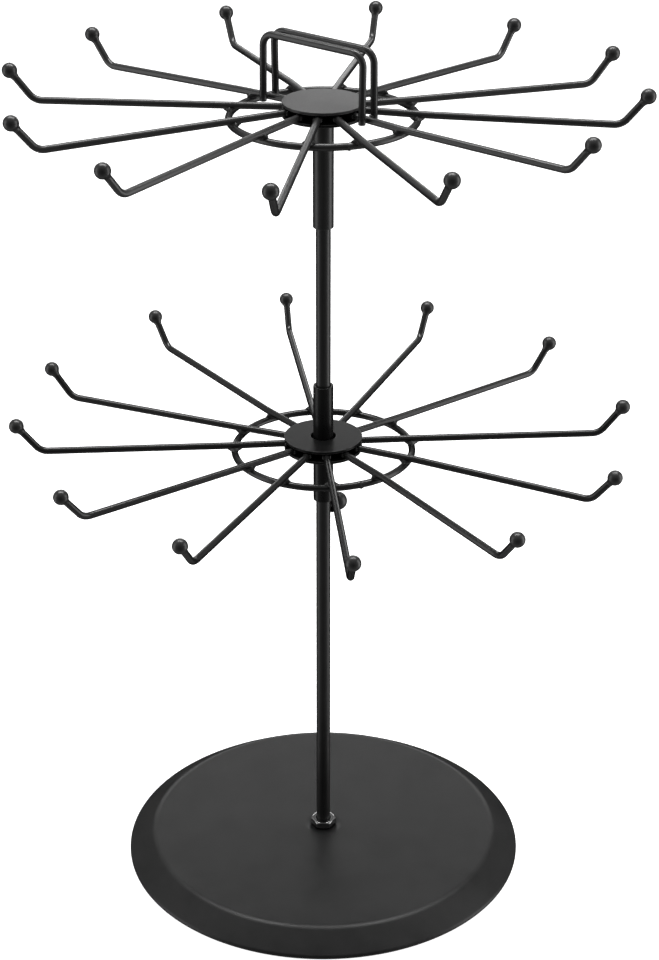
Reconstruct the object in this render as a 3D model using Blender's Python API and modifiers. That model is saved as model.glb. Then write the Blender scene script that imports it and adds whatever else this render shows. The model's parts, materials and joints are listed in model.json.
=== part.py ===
"""Two-tier rotating display rack: a pressed steel base, a plain pole, and two tiers of wire
hooks that each turn freely on the pole.

The frame is +Z up, with the origin on the table under the pole's axis. Units are metres.
"""

import math

import bmesh
import bpy
from mathutils import Matrix, Vector

# Running gap between pieces that touch or slide on each other.
GAP = 0.0003

# Base: a shallow pressed pan with a rounded shoulder and a sloping skirt.
BASE_RADIUS = 0.1145
BASE_HEIGHT = 0.0116
SHEET = 0.0012
PLATEAU_RADIUS = 0.0978
SHOULDER_BEND = 0.0075
RIM_BEND = 0.0018
RIM_DROP = 0.0010

# Pole, with a threaded foot clamped to the pan by two thin M8 nuts and a washer.
POLE_RADIUS = 0.004
POLE_FOOT_Z = 0.0030
POLE_CHAMFER = 0.0006
NUT_ACROSS_FLATS = 0.013
NUT_HEIGHT = 0.0041
NUT_TURN = math.radians(-90)
NUT_CHAMFER_ANGLE = math.radians(30)
WASHER_RADIUS = 0.008
WASHER_HEIGHT = 0.0016

# Tiers: twelve hooks between two discs, over a welded ring, on a sleeve round the pole.
HOOKS_PER_TIER = 12
WIRE_RADIUS = 0.0019
HOOK_REACH = 0.165
HOOK_START = 0.0092
HOOK_RISE = 0.0153
HOOK_RUN = 0.0125
HOOK_BEND = 0.0085
BALL_RADIUS = 0.00405
DISC_RADIUS = 0.0213
DISC_THICKNESS = 0.0016
LOWER_DISC_HOLE = 0.0069
RING_RADIUS = 0.0485
SLEEVE_RADIUS = 0.0055
SLEEVE_BORE = POLE_RADIUS + GAP

# Height of each tier's hooks at the axis, how far they droop, and the turn of the first hook.
TOP_TIER_Z = 0.4512
TOP_DROOP = math.radians(1.6)
TOP_TURN = math.radians(20.7)
TOP_SLEEVE_Z = 0.3865
LOWER_TIER_Z = 0.2623
LOWER_DROOP = math.radians(0.25)
LOWER_TURN = math.radians(5.7)
LOWER_SLEEVE_Z = 0.2274
LOWER_SLEEVE_TOP_Z = 0.2960

# How each hook sits off its even place, as bent and welded by hand: its turn in degrees, the
# fall of its elbow and its extra reach. The fall starts just outside the ring.
HOOK_FALL_START = 0.0525
TOP_HOOK_SET = (
    (0.3, -0.0004, -0.0001),
    (-0.9, 0.0027, 0.0000),
    (-1.2, 0.0026, -0.0001),
    (-1.1, 0.0035, -0.0002),
    (-0.3, 0.0021, -0.0002),
    (0.0, -0.0005, 0.0001),
    (1.4, 0.0000, -0.0013),
    (1.3, 0.0009, -0.0002),
    (1.1, -0.0008, -0.0001),
    (-0.1, -0.0029, -0.0002),
    (-0.4, -0.0033, -0.0005),
    (0.5, -0.0025, -0.0006),
)
LOWER_HOOK_SET = (
    (-0.6, 0.0005, 0.0004),
    (1.4, -0.0016, -0.0002),
    (2.0, -0.0022, 0.0000),
    (2.1, -0.0032, 0.0003),
    (1.3, -0.0047, 0.0006),
    (2.3, -0.0015, 0.0011),
    (-0.4, -0.0017, 0.0008),
    (0.5, -0.0002, -0.0002),
    (-0.7, 0.0002, 0.0001),
    (-0.7, 0.0017, 0.0001),
    (-0.3, 0.0044, 0.0004),
    (0.1, 0.0033, 0.0010),
)

# Handle: two bent wires whose feet straddle a pair of opposite hooks on the top tier.
HANDLE_TURN = TOP_TURN + math.radians(120.4)
HANDLE_TOP_Z = 0.4847
HANDLE_HALF_SPAN = 0.0325
HANDLE_SHIFT = 0.0035
HANDLE_BEND = 0.0065
HANDLE_TOP_OFFSET = 0.0044
HANDLE_FOOT_OFFSET = 0.0050
HANDLE_FOOT_DROP = 0.0016

# Stop screw: a ball-headed thumbscrew in the pole, whose collar carries the lower tier.
SCREW_Z = 0.2222
SCREW_TURN = math.radians(43)
SHANK_RADIUS = 0.002
SHANK_START = -0.0017
SHANK_END = 0.0105
SHANK_CHAMFER = 0.0005
SCREW_HOLE_START = -0.0022
COLLAR_RADIUS = 0.0048
COLLAR_START = 0.0044
COLLAR_END = 0.0070
COLLAR_CHAMFER = 0.0006
HEAD_RADIUS = 0.0052
HEAD_CENTRE = 0.0111

# Number of facets round each kind of piece, and along each kind of bend.
BASE_STEPS = 60
ROUND_STEPS = 32
DISC_STEPS = 40
RING_STEPS = 48
SMALL_STEPS = 20
NUT_FORM_STEPS = 24
BALL_SEGMENTS = 12
BALL_RINGS = 8
WIRE_BEVEL = 2
SHOULDER_PIECES = 4
RIM_PIECES = 2
HOOK_BEND_PIECES = 5
HANDLE_BEND_PIECES = 5
HEAD_PIECES = 9

# Turn of a ball's facets about its own cross axis, clear of the wire's facets.
BALL_TURN = math.radians(11)

# Points closer than this are one point. Edges sharper than these angles are shaded as edges.
MERGE_DISTANCE = 0.00001
SHARP_ANGLE = math.radians(35)
NUT_SHARP_ANGLE = math.radians(20)

BLACK = (0.016, 0.016, 0.017, 1.0)
PALE_BLACK = (0.030, 0.030, 0.031, 1.0)
STEEL = (0.55, 0.55, 0.57, 1.0)


def clear_scene():
    """Remove every object from the scene."""
    for item in list(bpy.data.objects):
        bpy.data.objects.remove(item, do_unlink=True)


def new_collection(name):
    """Add a collection to the scene."""
    found = bpy.data.collections.new(name)
    bpy.context.scene.collection.children.link(found)
    return found


def new_material(name, color, roughness, metallic):
    """Make a Principled material of one colour."""
    made = bpy.data.materials.new(name)
    made.use_nodes = True
    shader = made.node_tree.nodes["Principled BSDF"]
    shader.inputs["Base Color"].default_value = color
    shader.inputs["Roughness"].default_value = roughness
    shader.inputs["Metallic"].default_value = metallic
    return made


def place(name, data, group, material, parent=None, location=(0, 0, 0), turn=0.0):
    """Make an object of a mesh or a curve, in its collection, at its place."""
    made = bpy.data.objects.new(name, data)
    group.objects.link(made)
    if not data.materials:
        data.materials.append(material)
    made.parent = parent
    made.location = location
    made.rotation_euler = (0, 0, turn)
    return made


def new_axis(name, group, location):
    """Add an empty that marks a joint's axis along its own Z."""
    made = bpy.data.objects.new(name, None)
    made.empty_display_size = 0.02
    made.location = location
    group.objects.link(made)
    return made


def hide_helper(helper):
    """Leave a cutter out of the render and draw it as wire."""
    helper.hide_render = True
    helper.display_type = "WIRE"


def smooth(mesh):
    """Shade a round mesh smooth, and keep its edges sharp."""
    mesh.shade_smooth()
    mesh.set_sharp_from_angle(angle=SHARP_ANGLE)


def profile_mesh(name, profile, closed):
    """Make an outline in the XZ plane from (radius, height) points."""
    mesh = bpy.data.meshes.new(name)
    points = [(radius, 0, height) for radius, height in profile]
    edges = [(i, i + 1) for i in range(len(points) - 1)]
    if closed:
        edges.append((len(points) - 1, 0))
    mesh.from_pydata(points, edges, [])
    return mesh


def turned_mesh(name, profile, steps, closed=False):
    """Turn a profile about Z. At +X the profile runs down the piece's outer side."""
    outline = profile_mesh(name + "_profile", profile, closed)
    body = bpy.data.objects.new(name + "_profile", outline)
    bpy.context.scene.collection.objects.link(body)
    screw = body.modifiers.new("turn", "SCREW")
    screw.axis = "Z"
    screw.steps = steps
    screw.render_steps = steps
    screw.use_merge_vertices = True
    screw.merge_threshold = MERGE_DISTANCE
    mesh = evaluated_mesh(body, name)
    bpy.data.objects.remove(body, do_unlink=True)
    bpy.data.meshes.remove(outline)
    smooth(mesh)
    return mesh


def evaluated_mesh(body, name):
    """Copy an object's mesh as its modifiers leave it."""
    bpy.context.view_layer.update()
    graph = bpy.context.evaluated_depsgraph_get()
    mesh = bpy.data.meshes.new_from_object(body.evaluated_get(graph))
    mesh.name = name
    return mesh


def arc_points(centre, radius, start, end, pieces):
    """Points on an arc, from one angle to another, ends included."""
    points = []
    for i in range(pieces + 1):
        angle = start + (end - start) * i / pieces
        points.append((centre[0] + radius * math.cos(angle), centre[1] + radius * math.sin(angle)))
    return points


def rounded_path(corners, bend, pieces):
    """Replace each inner corner of a path with an arc of the given bend radius."""
    path = [corners[0]]
    for before, corner, after in zip(corners, corners[1:], corners[2:]):
        into = (corner - before).normalized()
        out = (after - corner).normalized()
        angle = into.angle(out)
        cut = bend * math.tan(angle / 2)
        start = corner - into * cut
        side = (out - into * into.dot(out)).normalized()
        for i in range(pieces + 1):
            turn = angle * i / pieces
            path.append(start + into * (bend * math.sin(turn)) + side * (bend * (1 - math.cos(turn))))
    path.append(corners[-1])
    return path


def wire_curve(name, path, radius, cyclic=False):
    """A round wire along a path."""
    curve = bpy.data.curves.new(name, "CURVE")
    curve.dimensions = "3D"
    curve.bevel_depth = radius
    curve.bevel_resolution = WIRE_BEVEL
    curve.use_fill_caps = not cyclic
    spline = curve.splines.new("POLY")
    spline.points.add(len(path) - 1)
    for point, place_at in zip(spline.points, path):
        point.co = (*place_at, 1)
    spline.use_cyclic_u = cyclic
    spline.use_smooth = True
    return curve


def disc_profile(radius, hole, low, high):
    """A flat disc between two heights, with a hole or solid."""
    if hole:
        return [(hole, high), (radius, high), (radius, low), (hole, low)]
    return [(0, high), (radius, high), (radius, low), (0, low)]


def hook_height(radius, droop):
    """Height of a hook's wire above its tier's plane, at a distance from the axis."""
    return -math.tan(droop) * radius


def pan_profile():
    """Outer face of the pan, from the hole down to the rim."""
    skirt = skirt_angle()
    shoulder = (PLATEAU_RADIUS, BASE_HEIGHT - SHOULDER_BEND)
    rim = (BASE_RADIUS - RIM_BEND, RIM_DROP)
    points = [(POLE_RADIUS + GAP, BASE_HEIGHT)]
    points += arc_points(shoulder, SHOULDER_BEND, math.pi / 2, math.pi / 2 - skirt, SHOULDER_PIECES)
    points += arc_points(rim, RIM_BEND, math.pi / 2 - skirt, 0, RIM_PIECES)
    points.append((BASE_RADIUS, 0))
    return points


def skirt_angle():
    """Slope of the straight skirt that is tangent to the shoulder and to the rim's bend."""
    run = (BASE_RADIUS - RIM_BEND) - PLATEAU_RADIUS
    drop = (BASE_HEIGHT - SHOULDER_BEND) - RIM_DROP
    distance = math.hypot(run, drop)
    return math.asin((SHOULDER_BEND - RIM_BEND) / distance) + math.atan2(drop, run)


def make_base_pan(group, material):
    """The pressed pan: its outer face thickened inwards."""
    outline = profile_mesh("base_pan", pan_profile(), False)
    pan = place("base_pan", outline, group, material)
    screw = pan.modifiers.new("turn", "SCREW")
    screw.axis = "Z"
    screw.steps = BASE_STEPS
    screw.render_steps = BASE_STEPS
    screw.use_merge_vertices = True
    screw.merge_threshold = MERGE_DISTANCE
    screw.use_smooth_shade = True
    sheet = pan.modifiers.new("sheet", "SOLIDIFY")
    sheet.thickness = SHEET
    sheet.offset = -1
    sheet.use_even_offset = True
    return pan


def make_pole(group, cutters, material):
    """The pole, with a rounded top end and a cross hole for the stop screw."""
    top = TOP_TIER_Z + hook_height(HOOK_START, TOP_DROOP) + WIRE_RADIUS
    profile = [
        (0, top),
        (POLE_RADIUS / 2, top - POLE_CHAMFER / 4),
        (POLE_RADIUS - POLE_CHAMFER, top - POLE_CHAMFER),
        (POLE_RADIUS, top - 2 * POLE_CHAMFER),
        (POLE_RADIUS, POLE_FOOT_Z + POLE_CHAMFER),
        (POLE_RADIUS - POLE_CHAMFER, POLE_FOOT_Z),
        (0, POLE_FOOT_Z),
    ]
    pole = place("pole", turned_mesh("pole", profile, ROUND_STEPS), group, material)
    length = POLE_RADIUS * 2 - SCREW_HOLE_START
    hole = disc_profile(SHANK_RADIUS + GAP, 0, SCREW_HOLE_START, SCREW_HOLE_START + length)
    cutter = place("stop_screw_hole", turned_mesh("stop_screw_hole", hole, SMALL_STEPS), cutters, material)
    cutter.matrix_world = screw_matrix()
    hide_helper(cutter)
    cut = pole.modifiers.new("stop_screw_hole", "BOOLEAN")
    cut.operation = "DIFFERENCE"
    cut.solver = "EXACT"
    cut.object = cutter
    return pole


def hex_nut_mesh(name, cutters, material):
    """A thin hexagon nut with chamfered corners and a plain bore, on Z = 0."""
    prism = bpy.data.meshes.new(name + "_prism")
    corner = NUT_ACROSS_FLATS / math.sqrt(3)
    form = bmesh.new()
    bmesh.ops.create_cone(form, cap_ends=True, segments=6, radius1=corner, radius2=corner, depth=NUT_HEIGHT)
    bmesh.ops.translate(form, verts=form.verts, vec=(0, 0, NUT_HEIGHT / 2))
    form.to_mesh(prism)
    form.free()
    body = place(name + "_prism", prism, cutters, material)
    flat = NUT_ACROSS_FLATS / 2
    chamfer = (corner - flat) * math.tan(NUT_CHAMFER_ANGLE) + GAP
    bore = POLE_RADIUS + GAP
    outer = corner + GAP
    form_profile = [
        (bore, NUT_HEIGHT),
        (flat - GAP, NUT_HEIGHT),
        (outer, NUT_HEIGHT - chamfer),
        (outer, chamfer),
        (flat - GAP, 0),
        (bore, 0),
    ]
    form_mesh = turned_mesh(name + "_form", form_profile, NUT_FORM_STEPS, True)
    turned = place(name + "_form", form_mesh, cutters, material)
    common = body.modifiers.new("form", "BOOLEAN")
    common.operation = "INTERSECT"
    common.solver = "EXACT"
    common.object = turned
    mesh = evaluated_mesh(body, name)
    for helper in (body, turned):
        bpy.data.objects.remove(helper, do_unlink=True)
    mesh.set_sharp_from_angle(angle=NUT_SHARP_ANGLE)
    return mesh


def make_base_fasteners(group, cutters, material):
    """The visible nut on the pan, and the washer and nut that clamp it from below."""
    nut = hex_nut_mesh("hex_nut", cutters, material)
    upper_z = BASE_HEIGHT + GAP
    washer_z = BASE_HEIGHT - SHEET - GAP - WASHER_HEIGHT
    lower_z = washer_z - GAP - NUT_HEIGHT
    place("base_nut_upper", nut, group, material, location=(0, 0, upper_z), turn=NUT_TURN)
    place("base_nut_lower", nut, group, material, location=(0, 0, lower_z), turn=NUT_TURN)
    profile = disc_profile(WASHER_RADIUS, POLE_RADIUS + GAP, 0, WASHER_HEIGHT)
    washer = turned_mesh("base_washer", profile, SMALL_STEPS, True)
    place("base_washer", washer, group, material, location=(0, 0, washer_z))


def hook_mesh(name, droop, fall, reach, cutters, material):
    """One hook along +X: a wire, its elbow, and a ball on its raised tip."""
    elbow = reach - HOOK_RUN
    level = hook_height(elbow, droop) - fall
    start = Vector((HOOK_START, 0, hook_height(HOOK_START, droop)))
    fall_start = Vector((HOOK_FALL_START, 0, hook_height(HOOK_FALL_START, droop)))
    tip = Vector((reach, 0, level + HOOK_RISE))
    outer = rounded_path([fall_start, Vector((elbow, 0, level)), tip], HOOK_BEND, HOOK_BEND_PIECES)
    curve = wire_curve(name + "_wire", [start] + outer, WIRE_RADIUS)
    guide = place(name + "_wire", curve, cutters, material)
    wire = place(name + "_wire_mesh", evaluated_mesh(guide, name + "_wire"), cutters, material)
    bpy.data.objects.remove(guide, do_unlink=True)
    form = bmesh.new()
    form.from_mesh(wire.data)
    bmesh.ops.remove_doubles(form, verts=form.verts, dist=MERGE_DISTANCE)
    form.to_mesh(wire.data)
    form.free()
    sphere = bpy.data.meshes.new(name + "_ball")
    form = bmesh.new()
    bmesh.ops.create_uvsphere(form, u_segments=BALL_SEGMENTS, v_segments=BALL_RINGS, radius=BALL_RADIUS)
    bmesh.ops.rotate(form, verts=form.verts, matrix=Matrix.Rotation(BALL_TURN, 3, "Y"))
    form.to_mesh(sphere)
    form.free()
    ball = place(name + "_ball", sphere, cutters, material, location=tip)
    join = wire.modifiers.new("ball", "BOOLEAN")
    join.operation = "UNION"
    join.solver = "EXACT"
    join.object = ball
    mesh = evaluated_mesh(wire, name)
    for helper in (wire, ball):
        bpy.data.objects.remove(helper, do_unlink=True)
    smooth(mesh)
    return mesh


def make_hooks(name, axis, droop, turn, hook_set, group, cutters, material):
    """A tier's hooks, each at its own turn, fall and reach."""
    for i, (swing, fall, extra) in enumerate(hook_set):
        node = f"{name}_hook_{i + 1:02d}"
        hook = hook_mesh(node, droop, fall, HOOK_REACH + extra, cutters, material)
        azimuth = turn + i * math.tau / HOOKS_PER_TIER + math.radians(swing)
        place(node, hook, group, material, parent=axis, turn=azimuth)


def make_tier(name, plane, droop, sleeve_span, upper_hole, group, cutters, materials):
    """One tier's discs, ring and sleeve, parented to its axis."""
    black, disc_black = materials
    axis = new_axis(name + "_axis", group, (0, 0, plane))
    upper_low = hook_height(HOOK_START, droop) + WIRE_RADIUS + GAP
    upper = disc_profile(DISC_RADIUS, upper_hole, upper_low, upper_low + DISC_THICKNESS)
    upper_mesh = turned_mesh(name + "_upper_disc", upper, DISC_STEPS, bool(upper_hole))
    place(name + "_upper_disc", upper_mesh, group, disc_black, parent=axis)
    lower_high = hook_height(DISC_RADIUS, droop) - WIRE_RADIUS - GAP
    lower = disc_profile(DISC_RADIUS, SLEEVE_RADIUS + GAP, lower_high - DISC_THICKNESS, lower_high)
    lower_mesh = turned_mesh(name + "_lower_disc", lower, DISC_STEPS, True)
    place(name + "_lower_disc", lower_mesh, group, disc_black, parent=axis)
    ring_z = hook_height(RING_RADIUS, droop) - 2 * WIRE_RADIUS - GAP
    ring_path = []
    for i in range(RING_STEPS):
        angle = math.tau * i / RING_STEPS
        ring_path.append((RING_RADIUS * math.cos(angle), RING_RADIUS * math.sin(angle), ring_z))
    ring = wire_curve(name + "_ring", ring_path, WIRE_RADIUS, cyclic=True)
    place(name + "_ring", ring, group, black, parent=axis)
    low, high = (height - plane for height in sleeve_span)
    sleeve = disc_profile(SLEEVE_RADIUS, SLEEVE_BORE, low, high)
    sleeve_mesh = turned_mesh(name + "_sleeve", sleeve, ROUND_STEPS, True)
    place(name + "_sleeve", sleeve_mesh, group, black, parent=axis)
    return axis


def make_handle(axis, group, material):
    """Two bent wires over the top tier's disc, splayed at their feet."""
    foot_z = hook_height(HANDLE_HALF_SPAN, TOP_DROOP) - HANDLE_FOOT_DROP
    bar_z = HANDLE_TOP_Z - TOP_TIER_Z
    for name, side in (("handle_wire_front", 1), ("handle_wire_rear", -1)):
        foot = side * HANDLE_FOOT_OFFSET
        top = side * HANDLE_TOP_OFFSET
        corners = [
            Vector((HANDLE_SHIFT - HANDLE_HALF_SPAN, foot, foot_z)),
            Vector((HANDLE_SHIFT - HANDLE_HALF_SPAN, top, bar_z)),
            Vector((HANDLE_SHIFT + HANDLE_HALF_SPAN, top, bar_z)),
            Vector((HANDLE_SHIFT + HANDLE_HALF_SPAN, foot, foot_z)),
        ]
        curve = wire_curve(name, rounded_path(corners, HANDLE_BEND, HANDLE_BEND_PIECES), WIRE_RADIUS)
        place(name, curve, group, material, parent=axis, turn=HANDLE_TURN)


def screw_matrix():
    """The stop screw's frame: Z runs out of the pole along the screw."""
    tip_over = Matrix.Rotation(math.pi / 2, 4, "Y")
    return Matrix.Translation((0, 0, SCREW_Z)) @ Matrix.Rotation(SCREW_TURN, 4, "Z") @ tip_over


def make_stop_screw(group, material):
    """The shank in the pole's cross hole, and the ball head with its collar."""
    axis = new_axis("stop_screw_axis", group, (0, 0, 0))
    axis.matrix_world = screw_matrix()
    shank = [
        (0, SHANK_END),
        (SHANK_RADIUS, SHANK_END),
        (SHANK_RADIUS, SHANK_START + SHANK_CHAMFER),
        (SHANK_RADIUS - SHANK_CHAMFER, SHANK_START),
        (0, SHANK_START),
    ]
    shank_mesh = turned_mesh("stop_screw_shank", shank, SMALL_STEPS)
    place("stop_screw_shank", shank_mesh, group, material, parent=axis)
    bore = SHANK_RADIUS + GAP
    meet = COLLAR_RADIUS - 2 * COLLAR_CHAMFER
    ball_end = -math.acos(meet / HEAD_RADIUS)
    head = arc_points((0, HEAD_CENTRE), HEAD_RADIUS, math.pi / 2, ball_end, HEAD_PIECES)
    head[0] = (0, HEAD_CENTRE + HEAD_RADIUS)
    head += [
        (meet, COLLAR_END),
        (COLLAR_RADIUS - COLLAR_CHAMFER, COLLAR_END),
        (COLLAR_RADIUS, COLLAR_END - COLLAR_CHAMFER),
        (COLLAR_RADIUS, COLLAR_START + COLLAR_CHAMFER),
        (COLLAR_RADIUS - COLLAR_CHAMFER, COLLAR_START),
        (bore, COLLAR_START),
        (bore, SHANK_END + GAP),
        (0, SHANK_END + GAP),
    ]
    head_mesh = turned_mesh("stop_screw_head", head, SMALL_STEPS)
    place("stop_screw_head", head_mesh, group, material, parent=axis)


def main():
    """Build the rack."""
    clear_scene()
    group = new_collection("rotating_display_rack")
    cutters = new_collection("cutters")
    black = new_material("powder_coat_black", BLACK, 0.42, 0.0)
    disc_black = new_material("powder_coat_disc", PALE_BLACK, 0.5, 0.0)
    steel = new_material("nut_steel", STEEL, 0.18, 1.0)
    make_base_pan(group, black)
    make_pole(group, cutters, black)
    make_base_fasteners(group, cutters, steel)
    upper_face = hook_height(HOOK_START, TOP_DROOP) + WIRE_RADIUS
    top_span = (TOP_SLEEVE_Z, TOP_TIER_Z + upper_face)
    lower_span = (LOWER_SLEEVE_Z, LOWER_SLEEVE_TOP_Z)
    finishes = (black, disc_black)
    top = make_tier("top", TOP_TIER_Z, TOP_DROOP, top_span, 0, group, cutters, finishes)
    lower = make_tier(
        "lower", LOWER_TIER_Z, LOWER_DROOP, lower_span, LOWER_DISC_HOLE, group, cutters, finishes
    )
    make_hooks("top", top, TOP_DROOP, TOP_TURN, TOP_HOOK_SET, group, cutters, black)
    make_hooks("lower", lower, LOWER_DROOP, LOWER_TURN, LOWER_HOOK_SET, group, cutters, black)
    make_handle(top, group, black)
    make_stop_screw(group, black)


main()
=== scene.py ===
"""Looks of the two-tier rotating display rack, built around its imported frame. Units are metres."""

import json
import math
import random

import bmesh
import bpy
from mathutils import Matrix, Vector, noise


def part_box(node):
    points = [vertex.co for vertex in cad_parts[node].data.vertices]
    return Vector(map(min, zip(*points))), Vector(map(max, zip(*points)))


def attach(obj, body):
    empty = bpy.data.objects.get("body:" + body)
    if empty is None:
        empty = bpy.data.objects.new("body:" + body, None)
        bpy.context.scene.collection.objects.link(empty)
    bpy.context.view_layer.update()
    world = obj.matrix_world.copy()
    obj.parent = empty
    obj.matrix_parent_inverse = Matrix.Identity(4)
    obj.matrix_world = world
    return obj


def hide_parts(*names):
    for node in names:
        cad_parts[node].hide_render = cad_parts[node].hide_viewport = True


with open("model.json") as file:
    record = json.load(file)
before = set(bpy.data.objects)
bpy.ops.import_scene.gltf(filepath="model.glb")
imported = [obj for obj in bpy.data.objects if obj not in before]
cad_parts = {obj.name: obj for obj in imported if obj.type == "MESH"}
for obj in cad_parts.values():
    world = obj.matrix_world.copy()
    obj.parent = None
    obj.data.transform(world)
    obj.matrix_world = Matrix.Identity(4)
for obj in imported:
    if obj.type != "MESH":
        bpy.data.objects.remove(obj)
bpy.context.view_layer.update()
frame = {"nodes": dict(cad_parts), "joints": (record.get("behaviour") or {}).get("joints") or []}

# Sizes that part.py also holds.
GAP = 0.0003
WIRE = 0.0019
BALL = 0.00405
HOOKS = 12
HOOK_START = 0.0092
HOOK_RISE = 0.0153
HOOK_RUN = 0.0125
HOOK_BEND = 0.0085
FALL_START = 0.0525
HANDLE_BEND = 0.0065
HANDLE_SPAN = 0.0325
NUT_FLATS = 0.013
SHEET = 0.0012
PLATEAU_RADIUS = 0.0978
SHOULDER_BEND = 0.0075
RIM_BEND = 0.0018
RIM_DROP = 0.0010
DROOP = {"top": math.radians(1.6), "lower": math.radians(0.25)}
JOINTS = {j["name"]: j for j in frame["joints"]}

WIRE_SIDES = 24
ROUND_SIDES = 96
DISC_SIDES = 192
PAN_SIDES = 256
NUT_SIDES = 288
RING_STEPS = 720

CHAMFER = 0.0004
M8_PITCH, M8_DEPTH = 0.00125, 0.00062
M4_RADIUS, M4_PITCH, M4_DEPTH = 0.002, 0.0007, 0.0004
SCREW_HOLE = 0.0023
SCREW_BALL, SCREW_BALL_OUT = 0.0052, 0.0111
SCREW_COLLAR = 0.0048
HANDLE_FOOT_OFFSET, HANDLE_TOP_OFFSET = 0.0050, 0.0044
TOP_SEAM, LOWER_SEAM = math.radians(-75), math.radians(-66)
LOWER_DISC_BORE = 0.0069


# ---------------------------------------------------------------- materials

# the share by which a coat's colour varies
MOTTLE = 0.25


def attribute(tree, name):
    """A node that reads one of the mesh's attributes."""
    made = tree.nodes.new("ShaderNodeAttribute")
    made.attribute_name = name
    return made


def ramp(tree, source, low, high, low_value, high_value):
    """Map a value from one span to another, clamped."""
    made = tree.nodes.new("ShaderNodeMapRange")
    made.inputs["From Min"].default_value = low
    made.inputs["From Max"].default_value = high
    made.inputs["To Min"].default_value = low_value
    made.inputs["To Max"].default_value = high_value
    tree.links.new(source, made.inputs["Value"])
    return made.outputs["Result"]


def noise_value(tree, vector, scale, detail=3.0, rough=0.55):
    """A noise texture's value over the given coordinates."""
    made = tree.nodes.new("ShaderNodeTexNoise")
    made.inputs["Scale"].default_value = scale
    made.inputs["Detail"].default_value = detail
    made.inputs["Roughness"].default_value = rough
    tree.links.new(vector, made.inputs["Vector"])
    return made.outputs["Fac"]


def scaled(tree, vector, factors):
    """Coordinates scaled by a factor along each axis."""
    made = tree.nodes.new("ShaderNodeVectorMath")
    made.operation = "MULTIPLY"
    made.inputs[1].default_value = factors
    tree.links.new(vector, made.inputs[0])
    return made.outputs["Vector"]


def maths(tree, operation, a, b):
    """One step of arithmetic on sockets or numbers."""
    made = tree.nodes.new("ShaderNodeMath")
    made.operation = operation
    for socket, value in zip(made.inputs, (a, b)):
        if isinstance(value, (int, float)):
            socket.default_value = value
        else:
            tree.links.new(value, socket)
    return made.outputs["Value"]


def mix_colour(tree, fac, a, b):
    """Mix two colours, each a socket or a grey level."""
    made = tree.nodes.new("ShaderNodeMix")
    made.data_type = "RGBA"
    tree.links.new(fac, made.inputs["Factor"])
    for socket, value in ((made.inputs["A"], a), (made.inputs["B"], b)):
        if isinstance(value, (int, float)):
            socket.default_value = (value, value, value, 1.0)
        else:
            tree.links.new(value, socket)
    return made.outputs["Result"]


def coat(name, grey, rough, spread, peel, streak, worn, worn_rough, metallic=0.0, shine=0.5):
    """A coated or plated surface.

    grey is its colour, rough and spread its roughness and how far that varies, peel the depth of
    its fine orange peel in millimetres, streak the depth of its lengthwise lines, worn and
    worn_rough the colour and roughness where an edge is rubbed, and shine its specular level.
    """
    mat = bpy.data.materials.new(name)
    mat.use_nodes = True
    tree = mat.node_tree
    shader = tree.nodes["Principled BSDF"]
    shader.inputs["Metallic"].default_value = metallic
    shader.inputs["IOR"].default_value = 1.5
    shader.inputs["Specular IOR Level"].default_value = shine
    along = attribute(tree, "grain").outputs["Vector"]
    edge = attribute(tree, "wear").outputs["Fac"]
    cloud = noise_value(tree, along, 55.0, 4.0)
    lines = noise_value(tree, scaled(tree, along, (0.03, 1.0, 1.0)), 1500.0, 3.0)
    fine = noise_value(tree, along, 1600.0, 2.0, 0.5)
    chips = noise_value(tree, along, 420.0, 4.0, 0.7)
    # rubbed edges: the wear attribute broken up by noise
    rubbed = maths(tree, "MULTIPLY", edge, ramp(tree, chips, 0.35, 0.62, 0.25, 1.0))
    clouded = ramp(tree, cloud, 0.3, 0.7, 0.0, 1.0)
    base = mix_colour(tree, clouded, grey * (1 - MOTTLE), grey * (1 + MOTTLE))
    if streak:
        base = mix_colour(tree, ramp(tree, lines, 0.45, 0.75, 0.0, 0.6), base, grey * 2.2)
    tree.links.new(mix_colour(tree, rubbed, base, worn), shader.inputs["Base Color"])
    both = maths(tree, "ADD", maths(tree, "MULTIPLY", cloud, 0.6), maths(tree, "MULTIPLY", fine, 0.4))
    varied = ramp(tree, both, 0.3, 0.7, rough - spread, rough + spread)
    gloss = tree.nodes.new("ShaderNodeMix")
    gloss.data_type = "FLOAT"
    tree.links.new(rubbed, gloss.inputs["Factor"])
    tree.links.new(varied, gloss.inputs["A"])
    gloss.inputs["B"].default_value = worn_rough
    tree.links.new(gloss.outputs["Result"], shader.inputs["Roughness"])
    height = maths(tree, "MULTIPLY", fine, peel)
    if streak:
        height = maths(tree, "ADD", height, maths(tree, "MULTIPLY", lines, streak))
    bump = tree.nodes.new("ShaderNodeBump")
    bump.inputs["Strength"].default_value = 1.0
    bump.inputs["Distance"].default_value = 0.001
    tree.links.new(height, bump.inputs["Height"])
    tree.links.new(bump.outputs["Normal"], shader.inputs["Normal"])
    return mat


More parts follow.
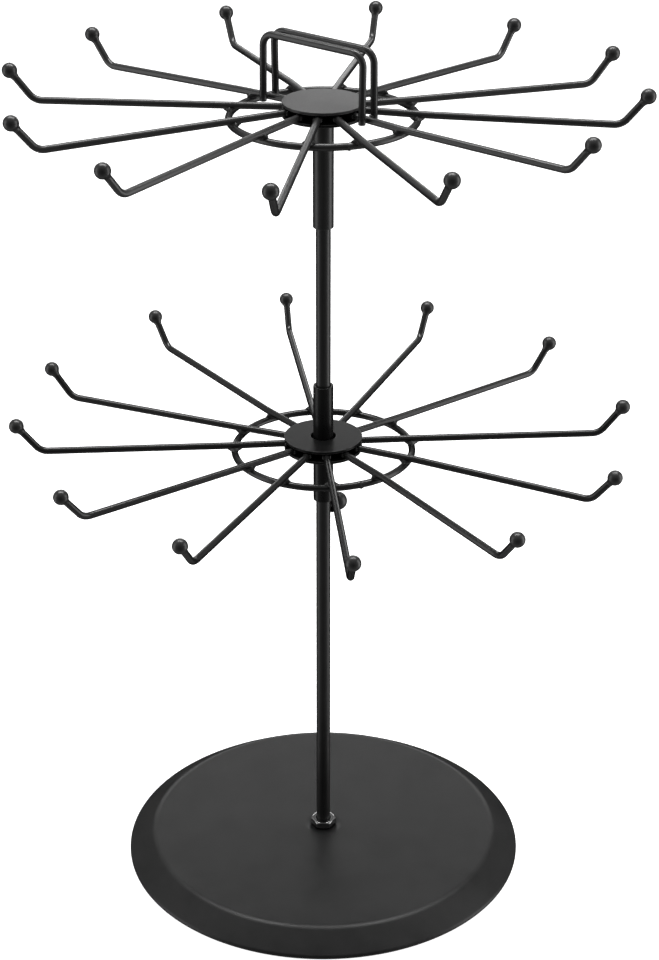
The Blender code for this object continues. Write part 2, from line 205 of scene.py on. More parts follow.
WIRE_COAT = coat("wire_coat", 0.016, 0.30, 0.05, 0.004, 0.0020, 0.05, 0.3)
# the lower tier's wire and tube coats: glossier, and darker than the top tier's as painted shade for the top
# tier's shadow over them
GLOSSY_SHADED_WIRE_COAT = coat("glossy_shaded_wire_coat", 0.008, 0.22, 0.04, 0.003, 0.0015, 0.05, 0.22, shine=0.42)
GLOSSY_SHADED_TUBE_COAT = coat("glossy_shaded_tube_coat", 0.006, 0.28, 0.04, 0.003, 0.0015, 0.05, 0.25, shine=0.2)
TUBE_COAT = coat("tube_coat", 0.010, 0.36, 0.04, 0.004, 0.0015, 0.05, 0.3, shine=0.45)
BALL_COAT = coat("ball_coat", 0.018, 0.34, 0.05, 0.005, 0.0, 0.05, 0.3)
BASE_COAT = coat("base_coat", 0.009, 0.40, 0.05, 0.016, 0.0, 0.03, 0.3, shine=0.32)
DISC_COAT = coat("disc_coat", 0.024, 0.46, 0.06, 0.014, 0.0, 0.09, 0.35)
# a darker copy of disc_coat, painted shade: it goes on every disc that sits under another disc or under the
# top tier, and disc_coat stays on the top disc only
SHADED_SATIN_DISC_COAT = coat("shaded_satin_disc_coat", 0.006, 0.34, 0.05, 0.012, 0.0, 0.09, 0.3, shine=0.11)
WELD_COAT = coat("weld_coat", 0.010, 0.30, 0.06, 0.01, 0.0, 0.04, 0.3)
PLATED = coat("plated_steel", 0.26, 0.07, 0.03, 0.0012, 0.0, 0.8, 0.10, metallic=1.0)


# ------------------------------------------------------------------ meshes


def finish_mesh(name, verts, faces, wear, grain, material, body, slot, nodes=()):
    """Make a piece from its points, with its wear and grain kept on every point."""
    mesh = bpy.data.meshes.new(name)
    mesh.from_pydata([tuple(v) for v in verts], [], faces)
    mesh.validate()
    mesh.update()
    worn = mesh.attributes.new("wear", "FLOAT", "POINT")
    worn.data.foreach_set("value", wear)
    lines = mesh.attributes.new("grain", "FLOAT_VECTOR", "POINT")
    lines.data.foreach_set("vector", [c for g in grain for c in g])
    mesh.shade_smooth()
    mesh.materials.append(material)
    piece = bpy.data.objects.new(name, mesh)
    bpy.context.scene.collection.objects.link(piece)
    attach(piece, body)
    if nodes:
        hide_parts(*nodes)
    return piece


def sweep(path, radii, sides, wear=None, cyclic=False, up=Vector((0, 0, 1))):
    """Points, faces, wear and grain of a round wire along a path, with a radius at each point."""
    n = len(path)
    tangents = []
    for i in range(n):
        a = path[i - 1] if (i or cyclic) else path[i]
        b = path[(i + 1) % n] if (i < n - 1 or cyclic) else path[i]
        tangents.append((b - a).normalized())
    side = tangents[0].cross(up)
    if side.length < 0.1:
        side = tangents[0].cross(Vector((0, 1, 0)))
    side.normalize()
    verts, faces, worn, grain = [], [], [], []
    travelled = 0.0
    for i, point in enumerate(path):
        if i:
            travelled += (point - path[i - 1]).length
        side = (side - tangents[i] * side.dot(tangents[i])).normalized()
        rise = side.cross(tangents[i])
        for k in range(sides):
            turn = math.tau * k / sides
            out = side * math.cos(turn) + rise * math.sin(turn)
            verts.append(point + out * radii[i])
            worn.append(wear[i] if wear else 0.0)
            grain.append((travelled, WIRE * math.cos(turn), WIRE * math.sin(turn)))
    rings = n if cyclic else n - 1
    for i in range(rings):
        for k in range(sides):
            a, b = i * sides + k, i * sides + (k + 1) % sides
            c, d = ((i + 1) % n) * sides + (k + 1) % sides, ((i + 1) % n) * sides + k
            faces.append((a, d, c, b))
    if not cyclic:
        for ring, point, flip in ((0, path[0], False), (n - 1, path[-1], True)):
            verts.append(point)
            worn.append(wear[ring] if wear else 0.0)
            grain.append((ring * 0.001, 0.0, 0.0))
            centre = len(verts) - 1
            for k in range(sides):
                a, b = ring * sides + k, ring * sides + (k + 1) % sides
                faces.append((centre, b, a) if flip else (centre, a, b))
    return verts, faces, worn, grain


def lathe(profile, sides, wear, closed):
    """Points, faces, wear and grain of a profile of (radius, height) turned about Z."""
    verts, faces, worn, grain, rows = [], [], [], [], []
    for (radius, height), rub in zip(profile, wear):
        if radius < 1e-7:
            rows.append([len(verts)] * sides)
            verts.append(Vector((0, 0, height)))
            worn.append(rub)
            grain.append((height, 0.0, 0.0))
            continue
        rows.append(list(range(len(verts), len(verts) + sides)))
        for k in range(sides):
            turn = math.tau * k / sides
            x, y = radius * math.cos(turn), radius * math.sin(turn)
            verts.append(Vector((x, y, height)))
            worn.append(rub)
            grain.append((height, x, y))
    last = len(rows) if closed else len(rows) - 1
    for i in range(last):
        low, high = rows[i], rows[(i + 1) % len(rows)]
        for k in range(sides):
            j = (k + 1) % sides
            face = [low[k], low[j], high[j], high[k]]
            unique = list(dict.fromkeys(face))
            if len(unique) > 2:
                faces.append(tuple(unique))
    return verts, faces, worn, grain


def rounded_profile(corners, radii, pieces=5, rub=1.0, closed=True):
    """Round a profile's corners. Each corner has its own radius, and is where the edge wears."""
    points, wear = [], []
    n = len(corners)
    for i, (corner, radius) in enumerate(zip(corners, radii)):
        here = Vector(corner)
        if radius <= 0 or (not closed and i in (0, n - 1)):
            points.append(tuple(here))
            wear.append(0.0)
            continue
        before = (Vector(corners[i - 1]) - here).normalized()
        after = (Vector(corners[(i + 1) % n]) - here).normalized()
        half = before.angle(after) / 2
        reach = radius / math.tan(half)
        start, end = here + before * reach, here + after * reach
        centre = here + (before + after).normalized() * (radius / math.sin(half))
        # a row a little off each end keeps the flat faces flat under smooth shading
        points.append(tuple(start + before * radius * 0.35))
        wear.append(0.0)
        for k in range(pieces + 1):
            spot = start.lerp(end, k / pieces) - centre
            points.append(tuple(centre + spot.normalized() * radius))
            wear.append(rub * (0.35 + 0.65 * math.sin(math.pi * k / pieces)))
        points.append(tuple(end + after * radius * 0.35))
        wear.append(0.0)
    return points, wear


def rounded_path(corners, bend, pieces):
    """Replace each inner corner of a path with an arc of the given bend radius."""
    path = [corners[0]]
    for before, corner, after in zip(corners, corners[1:], corners[2:]):
        into, out = (corner - before).normalized(), (after - corner).normalized()
        angle = into.angle(out)
        start = corner - into * bend * math.tan(angle / 2)
        side = (out - into * into.dot(out)).normalized()
        for i in range(pieces + 1):
            turn = angle * i / pieces
            path.append(start + into * bend * math.sin(turn) + side * bend * (1 - math.cos(turn)))
    path.append(corners[-1])
    return path


def divided(path, step):
    """Add points along a path so that no two are further apart than a step."""
    made = [path[0]]
    for a, b in zip(path, path[1:]):
        parts = max(1, math.ceil((b - a).length / step))
        made += [a.lerp(b, i / parts) for i in range(1, parts + 1)]
    return made


def cut_ends(path, radius, chamfer):
    """Extra points and radii that give a wire's cut ends a small rounded edge."""
    shares = ((0.0, 0.55), (0.08, 0.78), (0.35, 0.93), (1.0, 1.0))
    into = (path[1] - path[0]).normalized()
    out = (path[-2] - path[-1]).normalized()
    first = [path[0] + into * chamfer * a for a, _ in shares]
    last = [path[-1] + out * chamfer * a for a, _ in reversed(shares)]
    inner = path[1:-1]
    points = first + inner + last
    radii = [radius * b for _, b in shares] + [radius] * len(inner)
    radii += [radius * b for _, b in reversed(shares)]
    wear = [0.5, 0.9, 0.7, 0.1] + [0.0] * len(inner) + [0.1, 0.7, 0.9, 0.5]
    return points, radii, wear


def moved(parts, matrix):
    """The same mesh parts, with their points moved."""
    verts, faces, worn, grain = parts
    return [matrix @ v for v in verts], faces, worn, grain


def joined(several):
    """Several meshes' parts as one."""
    verts, faces, worn, grain = [], [], [], []
    for v, f, w, g in several:
        start = len(verts)
        verts += v
        faces += [tuple(i + start for i in face) for face in f]
        worn += w
        grain += g
    return verts, faces, worn, grain


def bead(size, seed, lump=0.18, level=3):
    """A small lumpy weld bead, as wide, deep and high as size says."""
    form = bmesh.new()
    bmesh.ops.create_icosphere(form, subdivisions=level, radius=1.0)
    verts = []
    for v in form.verts:
        swell = 1 + lump * noise.noise(v.co * 1.6 + Vector((seed, 0, 0)))
        verts.append(Vector((v.co.x * size[0], v.co.y * size[1], v.co.z * size[2])) * swell)
    faces = [tuple(v.index for v in f.verts) for f in form.faces]
    form.free()
    return verts, faces, [0.15] * len(verts), [tuple(v) for v in verts]


# ------------------------------------------------------- places in the frame


def span(node):
    """A node's lowest and highest height."""
    low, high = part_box(node)
    return low.z, high.z


def outer_radius(node):
    """A turned node's radius, from its box."""
    low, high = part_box(node)
    return (high.x - low.x) / 2


def hook_place(node):
    """A hook's azimuth, and its ball's distance from the axis and height, from its box."""
    low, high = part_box(node)
    x = high.x - BALL if high.x > -low.x else low.x + BALL
    y = high.y - BALL if high.y > -low.y else low.y + BALL
    return math.atan2(y, x), math.hypot(x, y), high.z - BALL


# -------------------------------------------------------------------- stand


def build_pan():
    """The pressed pan: plateau, rounded shoulder, sloping skirt and turned-down rim."""
    radius = outer_radius("base_pan")
    height = span("base_pan")[1]
    bore = outer_radius("pole") + GAP
    run = (radius - RIM_BEND) - PLATEAU_RADIUS
    drop = (height - SHOULDER_BEND) - RIM_DROP
    skirt = math.asin((SHOULDER_BEND - RIM_BEND) / math.hypot(run, drop)) + math.atan2(drop, run)

    def side(offset):
        """The pan's face at a depth under its outer face, from the bore to the rim."""
        face, worn = [], []
        for i in range(14):
            share = i / 13
            face.append((bore + (PLATEAU_RADIUS - 0.0006 - bore) * share, height - offset))
            worn.append(0.0)
        for i in range(19):
            turn = math.pi / 2 - skirt * i / 18
            r = SHOULDER_BEND - offset
            face.append((PLATEAU_RADIUS + r * math.cos(turn), height - SHOULDER_BEND + r * math.sin(turn)))
            worn.append(0.0)
        first = math.pi / 2 - skirt
        for i in range(9):
            turn = first * (1 - i / 8)
            r = RIM_BEND - offset
            face.append((radius - RIM_BEND + r * math.cos(turn), RIM_DROP + r * math.sin(turn)))
            worn.append(0.5 * i / 8 if not offset else 0.0)
        return face, worn

    outer, outer_wear = side(0.0)
    inner, inner_wear = side(SHEET)
    edge = 0.00025
    foot = [(radius, edge), (radius - edge * 0.3, edge * 0.3), (radius - edge, 0.0)]
    inside = radius - SHEET
    foot += [(inside + edge, 0.0), (inside + edge * 0.3, edge * 0.3), (inside, edge)]
    profile = outer + foot + inner[::-1]
    wear = outer_wear + [0.9, 1.0, 0.7, 0.5, 0.7, 0.4] + inner_wear[::-1]
    parts = lathe(profile[::-1], PAN_SIDES, wear[::-1], True)
    finish_mesh("base_pan_shell", *parts, BASE_COAT, "stand", "base_coat", ["base_pan"])


def thread_rows(low, high, radius, pitch, depth, sides, taper):
    """Rows of points of a screw thread's surface, which fades in and out over its taper."""
    rows = []
    per_turn = 12
    count = max(2, int((high - low) / pitch * per_turn))
    for i in range(count + 1):
        z = low + (high - low) * i / count
        fade = max(0.0, min(1.0, (z - low) / taper, (high - z) / taper))
        row = []
        for k in range(sides):
            turn = k / sides
            phase = (z / pitch - turn) % 1.0
            cut = 1 - abs(phase * 2 - 1)
            cut = min(1.0, max(0.0, cut * 1.35 - 0.12))
            r = radius - depth * (1 - cut) * fade
            angle = math.tau * turn
            row.append(Vector((r * math.cos(angle), r * math.sin(angle), z)))
        rows.append(row)
    return rows


def rows_mesh(rows, cap=True, rub=0.0):
    """Points, faces, wear and grain of stacked rows of points, closed at both ends."""
    sides = len(rows[0])
    verts = [v for row in rows for v in row]
    faces = []
    for i in range(len(rows) - 1):
        for k in range(sides):
            j = (k + 1) % sides
            faces.append((i * sides + k, i * sides + j, (i + 1) * sides + j, (i + 1) * sides + k))
    if cap:
        for i, flip in ((0, True), (len(rows) - 1, False)):
            centre = sum(rows[i], Vector()) / sides
            verts.append(centre)
            for k in range(sides):
                a, b = i * sides + k, i * sides + (k + 1) % sides
                faces.append((len(verts) - 1, b, a) if flip else (len(verts) - 1, a, b))
    return verts, faces, [rub] * len(verts), [(v.z, v.x, v.y) for v in verts]


def ring_row(radius, height, sides):
    """A level ring of points about the axis."""
    turns = [math.tau * k / sides for k in range(sides)]
    return [Vector((radius * math.cos(t), radius * math.sin(t), height)) for t in turns]


def build_pole():
    """The pole: a plain bar with a threaded foot and a cross hole for the stop screw."""
    low, high = span("pole")
    radius = outer_radius("pole")
    nut_top = span("base_nut_upper")[1]
    thread_top = nut_top + 0.0003
    rows = [ring_row(radius * 0.72, low, ROUND_SIDES), ring_row(radius * 0.84, low + 0.0003, ROUND_SIDES)]
    rows += thread_rows(low + 0.0007, thread_top, radius, M8_PITCH, M8_DEPTH, ROUND_SIDES, 0.0012)
    z = thread_top + 0.0004
    while z < high - 0.003:
        rows.append(ring_row(radius, z, ROUND_SIDES))
        z += 0.004
    edge = 0.0007
    for i in range(7):
        turn = math.pi / 2 * i / 6
        r = radius - edge + edge * math.cos(turn)
        rows.append(ring_row(r, high - edge + edge * math.sin(turn), ROUND_SIDES))
    piece = finish_mesh("pole_bar", *rows_mesh(rows), TUBE_COAT, "stand", "powder_coat", ["pole"])
    cut_screw_hole(piece)


def screw_matrix():
    """The stop screw's frame: Z runs out of the pole along the screw."""
    axis = Vector(JOINTS["stop_screw_turn"]["axis"])
    place = Vector(JOINTS["stop_screw_turn"]["pos_m"])
    return Matrix.Translation(place) @ axis.to_track_quat("Z", "Y").to_matrix().to_4x4()


def cut_screw_hole(piece):
    """Cut the cross hole that the stop screw turns in."""
    form = bmesh.new()
    size = {"radius1": SCREW_HOLE, "radius2": SCREW_HOLE, "depth": 0.0082}
    bmesh.ops.create_cone(form, cap_ends=True, segments=48, **size)
    bmesh.ops.translate(form, verts=form.verts, vec=(0, 0, 0.0041 - 0.0022))
    mesh = bpy.data.meshes.new("hole_cutter")
    form.to_mesh(mesh)
    form.free()
    cutter = bpy.data.objects.new("hole_cutter", mesh)
    bpy.context.scene.collection.objects.link(cutter)
    cutter.matrix_world = screw_matrix()
    cut = piece.modifiers.new("hole", "BOOLEAN")
    cut.operation, cut.solver, cut.object = "DIFFERENCE", "EXACT", cutter
    bpy.context.view_layer.update()
    graph = bpy.context.evaluated_depsgraph_get()
    made = bpy.data.meshes.new_from_object(piece.evaluated_get(graph))
    piece.modifiers.clear()
    old = piece.data
    piece.data = made
    made.name = old.name + "_cut"
    made.set_sharp_from_angle(angle=math.radians(40))
    bpy.data.objects.remove(cutter, do_unlink=True)


def hex_radius(turn, flat):
    """Distance from the axis to a hexagon's side."""
    step = math.tau / 6
    off = (turn + step / 2) % step - step / 2
    return flat / math.cos(off)


def nut_radius(turn, cone):
    """A nut's radius at a turn, where its chamfer's cone has the given radius."""
    flat, corner = NUT_FLATS / 2, NUT_FLATS / math.sqrt(3) - 0.00022
    side = hex_radius(turn, flat)
    if side > corner:
        side = corner + 0.5 * (side - corner)
    # the smaller of the two radii, blended where they meet
    blend = 0.00016
    gap = (cone - side) / blend
    if gap > 4:
        return side
    if gap < -4:
        return cone
    return cone - blend * math.log(math.exp(gap) + 1)


def build_nut(name, node):
    """A thin hexagon nut with both faces chamfered."""
    low, high = span(node)
    flat = NUT_FLATS / 2
    bore = outer_radius("pole") + 0.0001
    slope = math.tan(math.radians(30))
    levels = 22
    turns = [math.tau * k / NUT_SIDES for k in range(NUT_SIDES)]

    # the face under the nut: the bore, its countersink and the flat
    rows = [
        ring_row(bore, low + 0.0006, NUT_SIDES),
        ring_row(bore + 0.0004, low, NUT_SIDES),
        ring_row(flat - 0.0007, low, NUT_SIDES),
    ]
    row_wear = [0.0, 0.5, 0.0]
    for i in range(levels + 1):
        z = low + (high - low) * (0.5 - 0.5 * math.cos(math.pi * i / levels))
        cone = flat - 0.0001 + min(z - low, high - z) / slope
        radii = [nut_radius(t, cone) for t in turns]
        rows.append([Vector((r * math.cos(t), r * math.sin(t), z)) for r, t in zip(radii, turns)])
        row_wear.append(0.8 if i in (0, levels) else 0.25)
    rows += [
        ring_row(flat - 0.0007, high, NUT_SIDES),
        ring_row(bore + 0.0004, high, NUT_SIDES),
        ring_row(bore, high - 0.0006, NUT_SIDES),
    ]
    row_wear += [0.0, 0.5, 0.0]

    verts, faces, _, grain = rows_mesh(rows, cap=False)
    last = (len(rows) - 1) * NUT_SIDES
    for k in range(NUT_SIDES):
        j = (k + 1) % NUT_SIDES
        faces.append((last + k, last + j, j, k))
    worn = [w for w in row_wear for _ in range(NUT_SIDES)]
    parts = moved((verts, faces, worn, grain), Matrix.Rotation(nut_turn(node), 4, "Z"))
    piece = finish_mesh(name, *parts, PLATED, "stand", "plated_steel", [node])
    piece.data.set_sharp_from_angle(angle=math.radians(50))


def nut_turn(node):
    """Azimuth of one of a nut's flats, from the farthest of its CAD points, which is a corner."""
    best = max((v.co for v in frame["nodes"][node].data.vertices), key=lambda c: c.x * c.x + c.y * c.y)
    return math.atan2(best.y, best.x) + math.tau / 12


def build_washer():
    """The washer under the pan."""
    low, high = span("base_washer")
    outer, bore = outer_radius("base_washer"), outer_radius("pole") + GAP
    corners = [(bore, low), (outer, low), (outer, high), (bore, high)]
    profile, wear = rounded_profile(corners, [0.0001, 0.0002, 0.0003, 0.0002])
    parts = lathe(profile, ROUND_SIDES, wear, True)
    finish_mesh("base_washer_plate", *parts, PLATED, "stand", "plated_steel", ["base_washer"])


# -------------------------------------------------------------------- tiers


def hook_path(droop, reach, rise):
    """The line of one hook along +X, and its ball's centre at the given reach and height."""
    slope = -math.tan(droop)
    start = Vector((HOOK_START, 0, slope * HOOK_START))
    fall_start = Vector((FALL_START, 0, slope * FALL_START))
    corner = Vector((reach - HOOK_RUN, 0, rise - HOOK_RISE))
    tip = Vector((reach, 0, rise))
    path = rounded_path([start, fall_start, corner, tip], HOOK_BEND, 12)
    path[-1] = tip + (path[-2] - tip).normalized() * (BALL * 0.55)
    return path, tip


def hook_parts(droop, reach, rise):
    """The wire of one hook along +X, with the direction and the centre of its ball."""
    path, tip = hook_path(droop, reach, rise)
    fine = divided(path, 0.004)
    points, radii, wear = cut_ends(fine, WIRE, CHAMFER)
    # the wire's shank necks in a little where the ball is welded on
    out = (tip - path[-2]).normalized()
    for i, point in enumerate(points):
        away = (tip - point).dot(out)
        if point.x > reach - HOOK_RUN * 0.6 and away < BALL + 0.0006:
            radii[i] = min(radii[i], WIRE * 0.93)
    wire = sweep(points, radii, WIRE_SIDES, wear)
    return wire, out, tip


def ball_parts(tip, out):
    """A ball with a flat seat and a small collar of coating where the wire meets it."""
    profile, wear = [], []
    meet = math.asin(min(1.0, WIRE * 1.45 / BALL))
    for i in range(41):
        turn = (math.pi - meet) * i / 40
        profile.append((BALL * math.sin(turn), BALL * math.cos(turn)))
        wear.append(0.0)
    seat = -BALL * math.cos(meet)
    # the neck of weld and coating, drawn out along the wire
    for grow, drop in ((1.30, 0.0003), (1.17, 0.0007), (1.09, 0.0012), (1.04, 0.0018), (0.9, 0.0022)):
        profile.append((WIRE * grow, seat - drop))
        wear.append(0.2)
    profile.append((0.0, seat - 0.0022))
    wear.append(0.0)
    profile[0] = (0.0, BALL)
    parts = lathe(profile[::-1], 48, wear[::-1], False)
    turn = out.to_track_quat("Z", "Y").to_matrix().to_4x4()
    return moved(parts, Matrix.Translation(tip) @ turn)


def crossing_weld(seed):
    """The web of weld and coating between a wire along X and one along Y under it."""
    heights = (-0.0019, -0.0013, -0.0007, 0.0, 0.0007, 0.0013, 0.0019)
    reach = (0.0015, 0.0023, 0.0032, 0.0039, 0.0042, 0.0039, 0.0028)
    rows = []
    for z, a, b in zip(heights, reach, reversed(reach)):
        row = []
        for k in range(36):
            x, y = math.cos(math.tau * k / 36), math.sin(math.tau * k / 36)
            # a four-pointed outline, hollow between the wires
            star = (abs(x) ** 0.85 + abs(y) ** 0.85) ** (-1 / 0.85)
            lump = star * (1 + 0.12 * noise.noise(Vector((x * 1.7 + seed, y * 1.7, z * 300))))
            row.append(Vector((a * x * lump, b * y * lump, z)))
        rows.append(row)
    return rows_mesh(rows, rub=0.1)


def tier_welds(radius, ring_z, droop, turns, disc_radius, seam, seed):
    """Welds where each hook crosses the ring and enters the discs, and the ring's own burr."""
    middle = (-math.tan(droop) * radius + ring_z) / 2
    made = []
    for i, azimuth in enumerate(turns):
        place = Matrix.Rotation(azimuth, 4, "Z") @ Matrix.Translation((radius, 0, middle))
        made.append(moved(crossing_weld(seed + i * 3.7), place))
        for side in (-1, 1):
            at = (disc_radius - 0.0012, side * 0.0018, -math.tan(droop) * disc_radius)
            place = Matrix.Rotation(azimuth, 4, "Z") @ Matrix.Translation(at)
            made.append(moved(bead((0.0012, 0.0007, 0.0013), seed + i * 5.1 + side, 0.3, 2), place))
    burr = Matrix.Rotation(seam, 4, "Z") @ Matrix.Translation((radius + 0.0013, 0, ring_z - 0.0010))
    made.append(moved(bead((0.0008, 0.0012, 0.0008), seed, 0.4, 2), burr))
    return joined(made)


def build_disc(name, node, body, bore, material):
    """A flat pressed disc with slightly rounded edges, solid where the bore is zero."""
    low, high = span(node)
    outer = outer_radius(node)
    edge = 0.00032
    corners = [(bore, low), (outer, low), (outer, high), (bore, high)]
    radii = [0.0002, edge, edge, 0.0003] if bore else [0, edge, edge, 0]
    profile, wear = rounded_profile(corners, radii, 5, closed=bool(bore))
    profile, wear = fill_flats(profile, wear, 0.0035)
    parts = lathe(profile, DISC_SIDES, wear, bool(bore))
    finish_mesh(name, *parts, material, body, "disc_coat", [node])


def fill_flats(profile, wear, step):
    """Add points along a profile's long straight stretches."""
    points, worn = [profile[0]], [wear[0]]
    for (a, wa), (b, wb) in zip(zip(profile, wear), zip(profile[1:], wear[1:])):
        length = math.dist(a, b)
        parts = max(1, math.ceil(length / step))
        for i in range(1, parts + 1):
            share = i / parts
            points.append((a[0] + (b[0] - a[0]) * share, a[1] + (b[1] - a[1]) * share))
            worn.append(wa + (wb - wa) * share)
    return points, worn


def build_sleeve(name, node, body, material):
    """A plain-cut tube that turns on the pole."""
    low, high = span(node)
    outer, bore = outer_radius(node), outer_radius("pole") + GAP
    corners = [(bore, low), (outer, low), (outer, high), (bore, high)]
    profile, wear = rounded_profile(corners, [0.00015, 0.00025, 0.00025, 0.00015], 4)
    profile, wear = fill_flats(profile, wear, 0.003)
    parts = lathe(profile, ROUND_SIDES, wear, True)
    finish_mesh(name, *parts, material, body, "powder_coat", [node])


def build_ring(name, node, body, seam, material):
    """The welded wire ring, with its butt seam at the given azimuth. Returns its radius and height."""
    low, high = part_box(node)
    radius = (high.x - low.x) / 2 - WIRE
    height = (low.z + high.z) / 2
    path, radii, wear = [], [], []
    for i in range(RING_STEPS):
        angle = seam + math.tau * (i + 0.5) / RING_STEPS
        away = min(i + 0.5, RING_STEPS - i - 0.5) * math.tau * radius / RING_STEPS
        path.append(Vector((radius * math.cos(angle), radius * math.sin(angle), height)))
        # the butt weld: a low swelling with a notch along its middle
        swelling = 0.09 * math.exp(-((away / 0.0013) ** 2))
        notch = 0.12 * math.exp(-((away / 0.0004) ** 2))
        radii.append(WIRE * (1 + swelling - notch))
        wear.append(0.5 * math.exp(-((away / 0.0010) ** 2)))
    parts = sweep(path, radii, WIRE_SIDES, wear, cyclic=True)
    finish_mesh(name, *parts, material, body, "powder_coat", [node])
    return radius, height


def build_tier(tier, upper_bore, seam, seed, disc_coat, wire_coat, tube_coat):
    """One tier of hooks with its discs, ring, sleeve and welds. Returns its hooks' height."""
    body = tier + "_tier"
    plane = JOINTS[tier + "_tier_spin"]["pos_m"][2]
    turns = []
    for i in range(HOOKS):
        node = f"{tier}_hook_{i + 1:02d}"
        azimuth, reach, rise = hook_place(node)
        turns.append(azimuth)
        wire, out, tip = hook_parts(DROOP[tier], reach, rise - plane)
        ball = ball_parts(tip, out)
        place = Matrix.Translation((0, 0, plane)) @ Matrix.Rotation(azimuth, 4, "Z")
        # each wire's grain starts elsewhere, so that no two look alike
        verts, faces, worn, grain = moved(wire, place)
        grain = [(s + i * 0.37, c, d) for s, c, d in grain]
        finish_mesh(f"{node}_wire", verts, faces, worn, grain, wire_coat, body, "powder_coat", [node])
        finish_mesh(f"{node}_ball", *moved(ball, place), BALL_COAT, body, "powder_coat", [node])
    build_disc(f"{tier}_upper_plate", f"{tier}_upper_disc", body, upper_bore, disc_coat)
    sleeve_outer = outer_radius(f"{tier}_sleeve")
    # the lower disc takes the darker coat as painted shade under the upper disc
    build_disc(f"{tier}_lower_plate", f"{tier}_lower_disc", body, sleeve_outer + GAP, SHADED_SATIN_DISC_COAT)
    build_sleeve(f"{tier}_sleeve_tube", f"{tier}_sleeve", body, tube_coat)
    radius, height = build_ring(f"{tier}_ring_wire", f"{tier}_ring", body, seam, wire_coat)
    disc_radius = outer_radius(f"{tier}_upper_disc")
    welds = tier_welds(radius, height - plane, DROOP[tier], turns, disc_radius, seam, seed)
    welds = moved(welds, Matrix.Translation((0, 0, plane)))
    finish_mesh(f"{tier}_welds", *welds, WELD_COAT, body, "powder_coat")
    return plane


def handle_place():
    """The handle's turn and its shift along its span, from the middles of its two wires."""
    front, rear = ((low + high) / 2 for low, high in map(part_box, ("handle_wire_front", "handle_wire_rear")))
    across = front - rear
    turn = math.atan2(-across.x, across.y)
    middle = (front + rear) / 2
    return turn, middle.x * math.cos(turn) + middle.y * math.sin(turn)


def build_handle(plane):
    """The handle's two bent wires and the welds at their feet."""
    azimuth, shift = handle_place()
    top = span("handle_wire_front")[1] - WIRE
    foot = span("handle_wire_front")[0]
    for name, side in (("front", 1), ("rear", -1)):
        left, right = shift - HANDLE_SPAN, shift + HANDLE_SPAN
        corners = [
            Vector((left, side * HANDLE_FOOT_OFFSET, foot)),
            Vector((left, side * HANDLE_TOP_OFFSET, top)),
            Vector((right, side * HANDLE_TOP_OFFSET, top)),
            Vector((right, side * HANDLE_FOOT_OFFSET, foot)),
        ]
        path = divided(rounded_path(corners, HANDLE_BEND, 14), 0.003)
        points, radii, wear = cut_ends(path, WIRE, CHAMFER)
        parts = sweep(points, radii, WIRE_SIDES, wear, up=Vector((0, 1, 0)))
        parts = moved(parts, Matrix.Rotation(azimuth, 4, "Z"))
        node = f"handle_wire_{name}"
        finish_mesh(f"{node}_bar", *parts, WIRE_COAT, "top_tier", "powder_coat", [node])
    made = []
    rand = random.Random(23)
    droop = -math.tan(DROOP["top"]) * HANDLE_SPAN
    for sx in (-1, 1):
        for sy in (-1, 1):
            for lift in (0.0, 0.0011):
                lump = bead((0.0014, 0.0008, 0.0011), rand.uniform(0, 90), 0.3, 2)
                at = Vector((shift + sx * HANDLE_SPAN, sy * 0.0025, plane + droop + lift))
                made.append(moved(lump, Matrix.Rotation(azimuth, 4, "Z") @ Matrix.Translation(at)))
    finish_mesh("handle_welds", *joined(made), WELD_COAT, "top_tier", "powder_coat")


def build_screw():
    """The stop screw: a threaded shank, and a ball head with its collar."""
    place = screw_matrix()
    rows = [ring_row(0.0012, -0.0017, 48), ring_row(0.0015, -0.0015, 48)]
    rows += thread_rows(-0.0013, 0.0104, M4_RADIUS, M4_PITCH, M4_DEPTH, 48, 0.0005)
    parts = moved(rows_mesh(rows), place)
    finish_mesh("stop_screw_thread", *parts, PLATED, "screw_shank", "plated_steel", ["stop_screw_shank"])
    centre, radius = SCREW_BALL_OUT, SCREW_BALL
    collar, start, end = SCREW_COLLAR, 0.0044, 0.0070
    neck = collar - 0.0012
    profile = [(0.0, centre + radius)]
    last = -math.acos(neck / radius)
    for i in range(1, 31):
        turn = math.pi / 2 + (last - math.pi / 2) * i / 30
        profile.append((radius * math.cos(turn), centre + radius * math.sin(turn)))
    wear = [0.0] * len(profile)
    corners = [(neck, end), (collar, end), (collar, start), (0.0023, start), (0.0023, 0.0108)]
    body, rub = rounded_profile(corners, [0, 0.0005, 0.0005, 0.0002, 0], 5, closed=False)
    profile += body[1:] + [(0.0, 0.0108)]
    wear += rub[1:] + [0.0]
    parts = moved(lathe(profile[::-1], 64, wear[::-1], False), place)
    finish_mesh("stop_screw_ball", *parts, BALL_COAT, "screw_head", "powder_coat", ["stop_screw_head"])


# -------------------------------------------------------------------- stage


# name, place, width and height, and power
LIGHTS = (
    ("left_box", (-1.5, -0.2, 0.3), (0.8, 2.0), 7.5),
    ("right_box", (1.5, -0.1, 0.3), (0.8, 2.0), 12),
    ("back_box", (0, 4.0, 1.35), (3.6, 0.9), 25),
    ("top_box", (0, 0.5, 2.0), (1.8, 0.4), 36),
)
LIGHT_TARGET = Vector((0, 0, 0.25))
CAMERA_PLACE = (0, -1.159504, 0.811608)
CAMERA_PITCH, CAMERA_YAW, CAMERA_ROLL = 0.458849, 0.002941, 0.001209
# the fitted focal length in pixels, over the picture's height in pixels
FOCAL_SHARE = 2347.286 / 960
SENSOR = 36


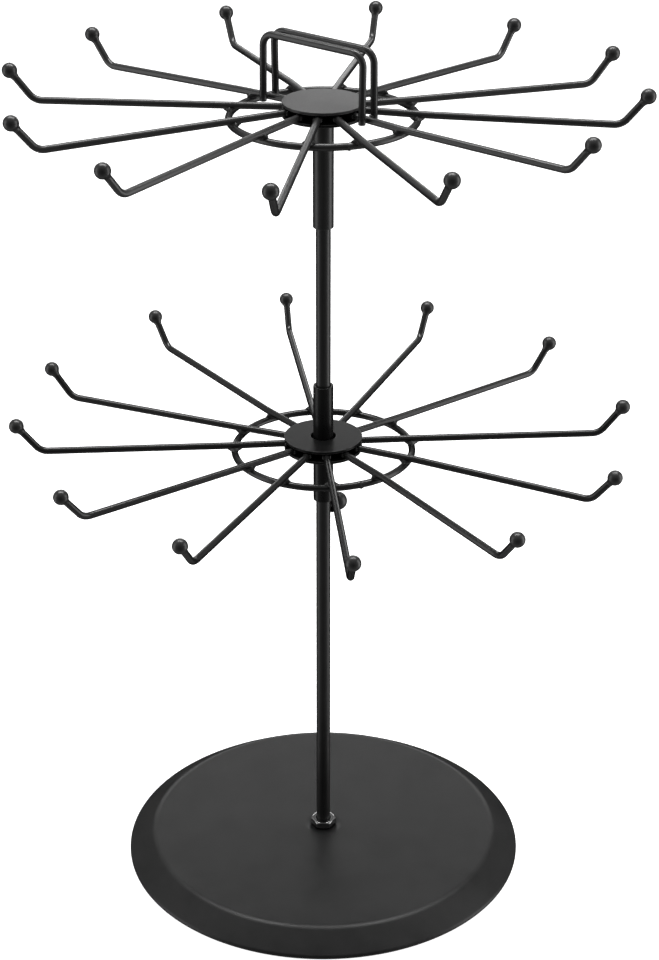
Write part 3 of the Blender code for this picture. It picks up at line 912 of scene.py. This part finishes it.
def light_world(tree):
    """A soft grey surround: brighter to the sides, above, below and behind, darker in front."""
    place = tree.nodes.new("ShaderNodeTexCoord")
    parts = tree.nodes.new("ShaderNodeSeparateXYZ")
    tree.links.new(place.outputs["Generated"], parts.inputs["Vector"])
    x, y, z = (parts.outputs[name] for name in "XYZ")
    sides = maths(tree, "MULTIPLY", maths(tree, "MULTIPLY", x, x), 0.35)
    ends = maths(tree, "MULTIPLY", maths(tree, "MULTIPLY", z, z), 0.4)
    behind = maths(tree, "MULTIPLY", maths(tree, "MAXIMUM", y, 0.0), ramp(tree, z, -0.1, 0.05, -0.6, 0.1))
    total = maths(tree, "ADD", maths(tree, "ADD", sides, ends), maths(tree, "ADD", behind, 0.06))
    level = maths(tree, "MAXIMUM", total, 0.0)
    tree.links.new(level, tree.nodes["Background"].inputs["Strength"])
    tree.nodes["Background"].inputs["Color"].default_value = (1, 1, 1, 1)


def build_floor():
    """A plain pale floor that adds no light, reflection or shadow of its own."""
    mesh = bpy.data.meshes.new("floor")
    mesh.from_pydata([(-20, -20, 0), (20, -20, 0), (20, 20, 0), (-20, 20, 0)], [], [(0, 1, 2, 3)])
    floor = bpy.data.objects.new("floor", mesh)
    bpy.context.scene.collection.objects.link(floor)
    floor.location = (0, 0, -0.0004)
    mat = bpy.data.materials.new("floor_white")
    mat.use_nodes = True
    shader = mat.node_tree.nodes["Principled BSDF"]
    shader.inputs["Base Color"].default_value = (0.8, 0.8, 0.8, 1)
    shader.inputs["Roughness"].default_value = 0.9
    shader.inputs["Specular IOR Level"].default_value = 0.1
    shader.inputs["Emission Color"].default_value = (1, 1, 1, 1)
    shader.inputs["Emission Strength"].default_value = 0.85
    mesh.materials.append(mat)
    floor.visible_glossy = False
    floor.visible_diffuse = False
    floor.visible_shadow = False


def build_lights():
    """The surround and the soft boxes."""
    world = bpy.data.worlds.new("studio")
    bpy.context.scene.world = world
    world.use_nodes = True
    light_world(world.node_tree)
    for name, where, size, power in LIGHTS:
        data = bpy.data.lights.new(name, "AREA")
        data.shape = "RECTANGLE"
        data.size, data.size_y = size
        data.energy = power
        lamp = bpy.data.objects.new(name, data)
        lamp.location = where
        lamp.rotation_euler = (LIGHT_TARGET - Vector(where)).to_track_quat("-Z", "Y").to_euler()
        bpy.context.scene.collection.objects.link(lamp)


def build_camera():
    """The camera, at the photograph's viewing angle."""
    data = bpy.data.cameras.new("camera")
    data.sensor_width = SENSOR
    data.lens = FOCAL_SHARE * SENSOR
    data.clip_start, data.clip_end = 0.05, 50
    camera = bpy.data.objects.new("camera", data)
    aim = Matrix.Rotation(-CAMERA_YAW, 3, "Z") @ Matrix.Rotation(math.pi / 2 - CAMERA_PITCH, 3, "X")
    camera.location = CAMERA_PLACE
    camera.rotation_euler = (aim @ Matrix.Rotation(CAMERA_ROLL, 3, "Z")).to_euler()
    bpy.context.scene.collection.objects.link(camera)
    bpy.context.scene.camera = camera
    bpy.context.scene.view_settings.view_transform = "Standard"


build_pan()
build_pole()
build_nut("base_nut_top", "base_nut_upper")
build_nut("base_nut_under", "base_nut_lower")
build_washer()
top_plane = build_tier("top", 0.0, TOP_SEAM, 7, DISC_COAT, WIRE_COAT, TUBE_COAT)
# the lower tier takes the darker coats, which paint the top tier's shade on it
lower_coats = (SHADED_SATIN_DISC_COAT, GLOSSY_SHADED_WIRE_COAT, GLOSSY_SHADED_TUBE_COAT)
build_tier("lower", LOWER_DISC_BORE, LOWER_SEAM, 61, *lower_coats)
build_handle(top_plane)
build_screw()
build_floor()
build_lights()
build_camera()
